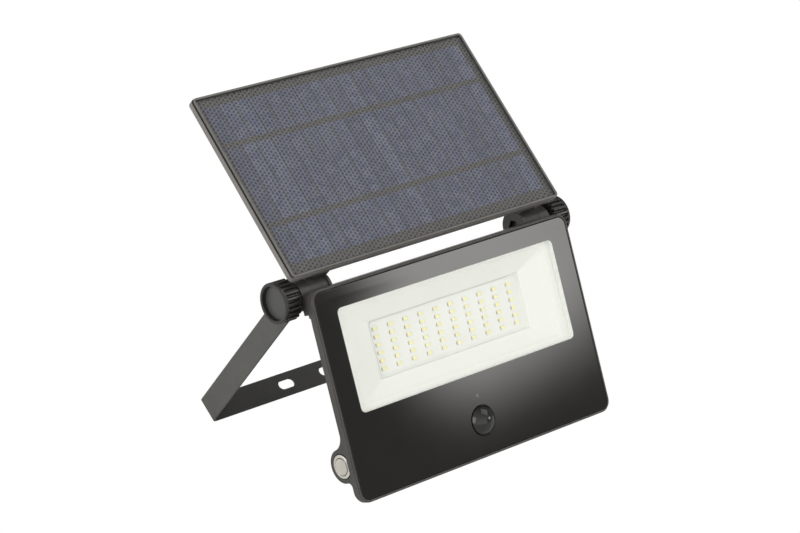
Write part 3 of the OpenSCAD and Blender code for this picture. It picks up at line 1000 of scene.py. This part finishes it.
@dataclass
class PowerButton(SubAssembly):
    """The round steel push button on the lamp's left side."""

    seat_x: float = -103.6
    centre: Pair = (12.0, -106.2)
    head: float = 7.5
    cap: float = 5.2
    ledge_x: float = -98.8
    floor_x: float = -92.8
    inner_x: float = -91.5

    def build(self) -> None:
        """Makes the bezel, which stays, and the cap, which moves."""
        x, head, cap = self.seat_x, self.head, self.cap
        bezel = Shape()
        bezel.turned(
            [
                (6.0, self.inner_x), (6.0, x - 0.5), (head - 0.12, x - 0.5), (head, x - 0.62),
                (head, x - 1.1), (head - 0.15, x - 1.42), (head - 0.6, x - 1.66),
                (head - 0.9, x - 1.7), (cap + 0.6, x - 1.7), (cap + 0.4, x - 1.64),
                (cap + 0.28, x - 1.4), (cap + 0.28, self.ledge_x), (4.4, self.ledge_x),
                (4.4, self.floor_x), (0.0, self.floor_x), (0.0, self.inner_x),
            ],
            "X", self.centre, 96, ring=True,
        )
        self.show("button_bezel", bezel, Body.LAMP, [BUTTON_STEEL], "button_body", 30.0)
        push = Shape()
        dish = [(cap * (1 - i / 8), x - 1.85 + 0.22 * (1 - (1 - i / 8) ** 2)) for i in range(1, 9)]
        push.turned(
            [(2.0, -96.3), (2.0, -100.3), (cap, -100.3), (cap, x - 1.7), (cap - 0.08, x - 1.85)]
            + [(r - 0.1 if r > 0.2 else r, h) for r, h in dish],
            "X", self.centre, 96,
        )
        self.show("button_cap_face", push, Body.BUTTON, [BUTTON_FACE], "button_cap", 30.0)


@dataclass
class Panel(SubAssembly):
    """The solar panel's frame, pitted face, cell strips, bands and backing."""

    width: float = 221.0
    height: float = 129.0
    corner: float = 3.0
    strips: int = 18
    pitch: float = 11.66
    strip_height: float = 112.0
    strip_low: float = 9.6
    gap: float = 1.0
    strip_front: float = 2.9
    strip_back: float = 3.2
    bands: Pair = (37.4, 93.9)
    band_front: float = 2.78
    band_half: float = 2.0
    pit_across: float = 5.0
    pit_along: float = 2.64
    pit_radius: float = 1.1
    pit_depth: float = 0.35
    face_y: float = 1.5
    face_back: float = 2.7
    face_margin: float = 2.0
    grid_across: int = 8
    grid_along: int = 4

    def edge(self, inset: float) -> Outline:
        """Returns the panel's outline, moved inwards by an inset."""
        return rounded_rect(self.width, 0.0, self.height, self.corner, inset, 8)

    def build_frame(self) -> None:
        """Makes the frame round the face, with a parting groove, and a black strip along the lip's
        inner wall as painted shade under the lip.
        """
        profile = [
            (1.25, 2.0), (1.25, 0.55), (0.6, 0.5), (0.48, 0.4), (0.45, 0.25), (0.52, 0.08),
            (0.7, 0.0), (1.35, 0.0), (1.65, 0.1), (1.78, 0.35), (1.78, 2.0),
        ]
        shape = Shape()
        shape.slab(self.edge, profile, ring=True)
        self.show("panel_frame_lip", shape, Body.PANEL, [PANEL_CASE], "panel_frame")
        # Painted shade: a black rubber strip lines the lip's inner wall, where the lip shades the
        # recessed face.
        lip_shade_strip = Shape()
        lip_shade_strip.slab(self.edge, [(1.78, 0.45), (2.05, 0.6), (2.05, 2.6), (1.78, 2.6)], ring=True)
        self.show("panel_lip_painted_shade", lip_shade_strip, Body.PANEL, [RUBBER], "panel_glass")

    def build_face(self) -> None:
        """Makes the pitted face: a fine grid pushed in at each pit, closed by a back."""
        half, low = self.width / 2 - self.face_margin, self.face_margin
        high = self.height - self.face_margin
        dx, dz = self.pit_across / self.grid_across, self.pit_along / self.grid_along
        columns = math.ceil(2 * half / dx)
        rows = math.ceil((high - low) / dz)
        verts, pits = [], []
        for j in range(rows + 1):
            for i in range(columns + 1):
                x = min(-half + i * dx, half)
                z = min(low + j * dz, high)
                depth = self.pit_at(i, j) if 0 < i < columns and 0 < j < rows else 0.0
                verts.append((x, self.face_y + depth * self.pit_depth, z))
                pits.append(depth)
        faces = []
        for j in range(rows):
            for i in range(columns):
                a = j * (columns + 1) + i
                faces.append((a, a + 1, a + columns + 2, a + columns + 1))
        border = (
            list(range(columns + 1))
            + [j * (columns + 1) + columns for j in range(1, rows + 1)]
            + [rows * (columns + 1) + i for i in range(columns - 1, -1, -1)]
            + [j * (columns + 1) for j in range(rows - 1, 0, -1)]
        )
        first_back = len(verts)
        for index in border:
            x, _, z = verts[index]
            verts.append((x, self.face_back, z))
            pits.append(0.0)
        count = len(border)
        for n in range(count):
            m = (n + 1) % count
            faces.append((border[n], first_back + n, first_back + m, border[m]))
        faces.append(tuple(first_back + n for n in range(count)))
        mesh = bpy.data.meshes.new("panel_face")
        mesh.from_pydata(verts, [], faces)
        mesh.attributes.new("pit", "FLOAT", "POINT").data.foreach_set("value", pits)
        mesh.transform(self.place.matrix)
        self.kit.piece(
            "panel_face", mesh, Body.PANEL, [PANEL_FACE], ["panel_glass"], 50.0, flatten=False
        )

    def pit_at(self, i: int, j: int) -> float:
        """Works out the pit pattern, whose rows are staggered by half a pitch.

        Args:
            i: Grid column.
            j: Grid row.

        Returns:
            How deep the pattern is at that grid point, from 0 to 1.
        """
        across, along = self.grid_across, self.grid_along
        half_i, half_j = across // 2, along // 2
        best = 0.0
        for shift_i, shift_j in ((0, 0), (half_i, half_j)):
            u = ((i - shift_i + half_i) % across - half_i) * self.pit_across / across
            v = ((j - shift_j + half_j) % along - half_j) * self.pit_along / along
            share = 1.0 - (u * u + v * v) / self.pit_radius**2
            best = max(best, max(share, 0.0) ** 1.5)
        return best

    def build_cells(self) -> None:
        """Makes the cell strips, each with its own tone, and the two bands across them."""
        shape = Shape()
        for i in range(self.strips):
            x = (i - self.strips / 2) * self.pitch
            left, right = x + self.gap / 2, x + self.pitch - self.gap / 2
            shape.box(
                (left, self.strip_front, self.strip_low),
                (right, self.strip_back, self.strip_low + self.strip_height),
            )
        tone = shape.bm.verts.layers.float.new("tone")
        for v in shape.bm.verts:
            strip = math.floor(v.co.x / self.pitch + self.strips / 2)
            v[tone] = (strip * 7 % 5 + strip * 3 % 4) / 7.0
        self.show("cell_strips", shape, Body.PANEL, [CELL_BLUE], "solar_cells")
        ribbon = Shape()
        reach = self.pitch * self.strips / 2
        for z in self.bands:
            low, high = z - self.band_half, z + self.band_half
            ribbon.box((-reach, self.band_front, low), (reach, self.strip_front, high), 0.05)
        self.show("cell_bands", ribbon, Body.PANEL, [RIBBON], "bus_ribbons")
        self.kit.dress("panel_backsheet", BACKING)

    def build(self) -> None:
        """Makes the whole panel front."""
        self.build_frame()
        self.build_face()
        self.build_cells()


@dataclass
class Knob(SubAssembly):
    """One fluted hand knob with its recessed cap."""

    side: int
    radius: float = 12.65
    back: float = 106.15
    front: float = 118.1
    flutes: int = 22
    flute_depth: float = 1.7
    flute_share: float = 0.27
    bore: float = 4.1
    disc: float = 10.45
    recess: float = 10.5
    recess_floor: float = 114.35
    per_flute: int = 12

    @property
    def body(self) -> Body:
        """The body that this knob is."""
        return Body.RIGHT_KNOB if self.side > 0 else Body.LEFT_KNOB

    @property
    def label(self) -> str:
        """The side's name."""
        return "right" if self.side > 0 else "left"

    def ring(self, x: float, radius: float, depth: float) -> list[Point]:
        """Draws one loop of the grip about the hinge line.

        Args:
            x: Its distance from the middle.
            radius: Its radius between flutes.
            depth: Depth of its flutes.

        Returns:
            The loop's points.
        """
        count = self.flutes * self.per_flute
        points = []
        for i in range(count):
            turn = 2 * math.pi * i / count
            share = abs((i % self.per_flute) / self.per_flute - 0.5) / self.flute_share
            cut = depth * max(0.0, 1.0 - share**3) if share < 1 else 0.0
            r = radius - cut
            points.append((self.side * x, r * math.cos(turn), r * math.sin(turn)))
        return points

    def build(self) -> None:
        """Makes the fluted body and the cap."""
        d = self.flute_depth
        stations = [
            (self.back, self.bore, 0.0), (self.back, self.radius - 0.6, d),
            (self.back + 0.15, self.radius - 0.2, d), (self.back + 0.5, self.radius, d),
            (self.front - 2.6, self.radius, d), (self.front - 2.0, self.radius, d * 0.75),
            (self.front - 1.6, self.radius, 0.0), (self.front - 0.45, self.radius, 0.0),
            (self.front - 0.12, self.radius - 0.15, 0.0), (self.front, self.radius - 0.5, 0.0),
            (self.front, self.recess + 0.35, 0.0), (self.front - 0.15, self.recess + 0.08, 0.0),
            (self.front - 0.4, self.recess, 0.0), (self.recess_floor, self.recess, 0.0),
            (self.recess_floor, self.bore, 0.0),
        ]
        shape = Shape()
        shape.loft([self.ring(x, r, cut) for x, r, cut in stations], ring=True)
        self.show(
            f"{self.label}_knob_grip", shape, self.body, [KNOB_BLACK],
            f"{self.label}_knob_body", 32.0,
        )
        cap = Shape()
        floor = self.recess_floor + 0.05
        top = self.recess_floor + 1.1
        profile = [
            (0.0, floor), (self.disc, floor), (self.disc, top - 0.2), (10.3, top),
            (9.8, top - 0.05), (5.0, top - 0.16), (0.0, top - 0.2),
        ]
        cap.turned([(r, self.side * x) for r, x in profile], "X", (0.0, 0.0))
        self.show(
            f"{self.label}_knob_disc", cap, self.body, [KNOB_GREY], f"{self.label}_knob_cap", 32.0
        )
        self.kit.dress(f"{self.label}_knob_insert", BRASS)


@dataclass
class Casings:
    """The CAD nodes that keep their shape, some with softened edges."""

    kit: Kit
    panel: Place
    side_depth: float = 5.9
    side_x: float = 108.5
    side_low: float = 1.7
    side_high: float = 127.3

    def paint_rim_light(self, shell: bpy.types.Object) -> None:
        """Paints light onto the panel shell's side wall: a paler copy of the panel plastic stands
        in for the light that falls on the wall.

        Args:
            shell: The panel's shell.
        """
        shell.data.materials.append(paint.material(PANEL_RIM_PAINTED_LIGHT))
        back = self.panel.matrix.inverted()
        for face in shell.data.polygons:
            spot = back @ face.center
            inside = abs(spot.x) < self.side_x and self.side_low < spot.z < self.side_high
            if spot.y < self.side_depth and not inside and spot.z > -0.2:
                face.material_index = 1

    def build(self) -> None:
        """Rounds the edges of the casings and dresses what stays."""
        softened = [
            ("rear_housing", "lamp_housing", Body.LAMP, HOUSING, 0.35),
            ("rear_cover", "lamp_back_cover", Body.LAMP, HOUSING, 0.4),
            ("panel_shell", "panel_back_shell", Body.PANEL, PANEL_DARK, 0.25),
            ("mounting_bracket", "bracket_strip", Body.BRACKET, BRACKET_COAT, 0.3),
            ("friction_washers", "hinge_rings", Body.PANEL, PANEL_DARK, 0.15),
            ("lamp_gland", "lamp_cable_gland", Body.LAMP, GLAND, 0.2),
            ("panel_gland", "panel_cable_gland", Body.PANEL, GLAND, 0.2),
        ]
        for node, name, body, finish, edge in softened:
            made = self.kit.softened(node, name, body, finish, edge)
            # The panel shell's side wall gets a paler copy of its plastic as painted light.
            if node == "panel_shell":
                self.paint_rim_light(made)
        kept = {
            "knob_washers": STEEL, "glass_gasket": RUBBER, "heat_spreader": ALUMINIUM,
            "control_board": BOARD_GREEN, "board_parts": COMPONENT, "board_screws": STEEL,
            "battery_cells": BATTERY, "battery_holder": HOUSING, "battery_tabs": NICKEL,
            "pir_sensor": STEEL, "sensor_board": BOARD_GREEN, "button_oring": RUBBER,
            "button_nut": STEEL, "cover_gasket": RUBBER, "cover_screws": STEEL,
            "vent_plug": RUBBER, "panel_screws": STEEL, "hinge_bolts": BLACKENED,
        }
        for node, finish in kept.items():
            self.kit.dress(node, finish)


# ---- stage ----


@dataclass
class Studio:
    """Floor, soft light and camera."""

    camera_at: Point = (-1.0325, -1.1053, 0.7431)
    look: Point = (0.6259, 0.6749, -0.3909)
    roll_up: Point = (0.2361, 0.3137, 0.9197)
    lens: float = 119.06
    sensor: float = 36.0
    card_centre: Point = (0.637, -0.745, 0.2)
    card_across: Point = (0.76, 0.65, 0.0)
    card_left: Pair = (-0.045, 0.005)
    card_right: Pair = (0.01, 0.07)
    card_foot: Pair = (0.155, 0.215)
    card_head: Pair = (0.42, 0.34)
    card_edge: Pair = (0.94, 0.975)
    card_dim: float = 0.4
    card_bright: float = 5.7
    bright_side: Point = (-0.75, -0.65, 0.1)
    side_span: Pair = (-0.6, 0.7)
    near_light: float = 1.45
    far_light: float = 0.35
    top_span: Pair = (0.2, 1.0)
    top_share: float = 0.6
    tint: Colour = (1.0, 0.985, 0.955)
    floor_reach: float = 12.0

    def build_floor(self) -> None:
        """Makes the plain pale floor, lit evenly enough to look white."""
        mesh = bpy.data.meshes.new("floor")
        r = self.floor_reach
        mesh.from_pydata(
            [(-r, -r, 0.0), (r, -r, 0.0), (r, r, 0.0), (-r, r, 0.0)], [], [(0, 1, 2, 3)]
        )
        floor = bpy.data.objects.new("floor", mesh)
        tree = Tree(bpy.data.materials.new("floor"))
        colour = tree.mix(tree.spread(tree.noise(0.4), 0, 1), (0.9, 0.9, 0.9), (0.92, 0.92, 0.92))
        shader = tree.put("BsdfPrincipled", {"Base Color": colour, "Roughness": 0.9})
        glow = tree.put("Emission", {"Color": (1.0, 1.0, 1.0, 1.0), "Strength": 1.0})
        seen = tree.put("LightPath", {}).outputs["Is Camera Ray"]
        inputs = {0: seen, 1: shader.outputs[0], 2: glow.outputs[0]}
        mesh.materials.append(tree.finish(tree.put("MixShader", inputs).outputs[0]))
        bpy.context.scene.collection.objects.link(floor)

    def build_world(self) -> None:
        """Makes the soft surrounding light: pale all round, with a brighter card at the front.

        The card runs up from grey on the left to bright on the upper right, so that flat glass
        which faces it shows a slow change of tone.
        """
        world = bpy.data.worlds.new("studio")
        bpy.context.scene.world = world
        tree = Tree(world, "Generated")

        def along(axis: Point) -> bpy.types.NodeSocket:
            """Returns how far the light's direction points along an axis."""
            inputs = {0: tree.coords, 1: axis}
            return tree.put("VectorMath", inputs, operation="DOT_PRODUCT").outputs["Value"]

        def ramp(
            value: object, span: Pair, low: float = 0.0, high: float = 1.0
        ) -> bpy.types.NodeSocket:
            """Returns a value mapped smoothly from a span onto low to high."""
            inputs = {0: value, 1: span[0], 2: span[1], 3: low, 4: high}
            return tree.put("MapRange", inputs, interpolation_type="SMOOTHSTEP").outputs[0]

        def times(first: object, second: object) -> bpy.types.NodeSocket:
            """Returns the product of two values."""
            return tree.math("MULTIPLY", first, second)

        across = along(self.card_across)
        upward = along((0.0, 0.0, 1.0))
        shape = times(ramp(across, self.card_left), ramp(across, self.card_right, 1.0, 0.75))
        shape = times(shape, ramp(upward, self.card_foot))
        card = ramp(shape, (0.0, 1.0), self.card_dim, self.card_bright)
        in_card = times(
            ramp(along(self.card_centre), self.card_edge), ramp(upward, self.card_head)
        )
        side = ramp(along(self.bright_side), self.side_span, self.far_light, self.near_light)
        sky = times(side, ramp(upward, self.top_span, 1.0, self.top_share))
        strength = tree.put("Mix", {0: in_card, 2: sky, 3: card}).outputs[0]
        inputs = {"Color": as_rgba(self.tint), "Strength": strength}
        background = tree.put("Background", inputs)
        tree.put("OutputWorld", {0: background.outputs[0]})

    def build_lamp(
        self, name: str, at: Point, size: float, power: float
    ) -> None:
        """Adds a square soft light that faces the object.

        Args:
            name: The light's name.
            at: Where it stands.
            size: Its edge length.
            power: Its power in watts.
        """
        data = bpy.data.lights.new(name, "AREA")
        data.size = size
        data.energy = power
        light = bpy.data.objects.new(name, data)
        light.location = at
        light.rotation_euler = (
            (Vector((0.0, 0.0, 0.1)) - Vector(at)).to_track_quat("-Z", "Y").to_euler()
        )
        bpy.context.scene.collection.objects.link(light)

    def build_camera(self) -> None:
        """Makes the camera at the object's three-quarter view."""
        data = bpy.data.cameras.new("camera")
        data.lens = self.lens
        data.sensor_width = self.sensor
        camera = bpy.data.objects.new("camera", data)
        forward = Vector(self.look).normalized()
        right = forward.cross(Vector(self.roll_up)).normalized()
        up = right.cross(forward)
        rotation = Matrix((right, up, -forward)).transposed()
        camera.matrix_world = Matrix.Translation(self.camera_at) @ rotation.to_4x4()
        bpy.context.scene.collection.objects.link(camera)
        bpy.context.scene.camera = camera

    def build(self) -> None:
        """Makes the whole stage, shown without a film curve."""
        bpy.context.scene.view_settings.view_transform = "Standard"
        self.build_floor()
        self.build_world()
        self.build_lamp("key light", (1.2, -0.6, 2.0), 1.6, 10.0)
        self.build_lamp("side light", (-1.9, -0.3, 0.9), 1.4, 14.0)
        self.build_camera()


def main() -> None:
    """Builds the stage and every sub-assembly."""
    logging.basicConfig(level=logging.INFO, format="%(name)s: %(message)s")
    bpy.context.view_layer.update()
    joint = next(j for j in frame["joints"] if j["name"] == "lamp_tilt")
    hinge = HingeLine(Vector(joint["pos_m"]))
    kit = Kit()
    Studio().build()
    Casings(kit, hinge.panel).build()
    LampFront(kit, hinge.lamp).build()
    PowerButton(kit, hinge.lamp).build()
    Panel(kit, hinge.panel).build()
    for side in (-1, 1):
        Knob(kit, hinge.bracket, side).build()
    log.info("%d pieces made", len(kit.made))


if __name__ == "__main__":
    main()
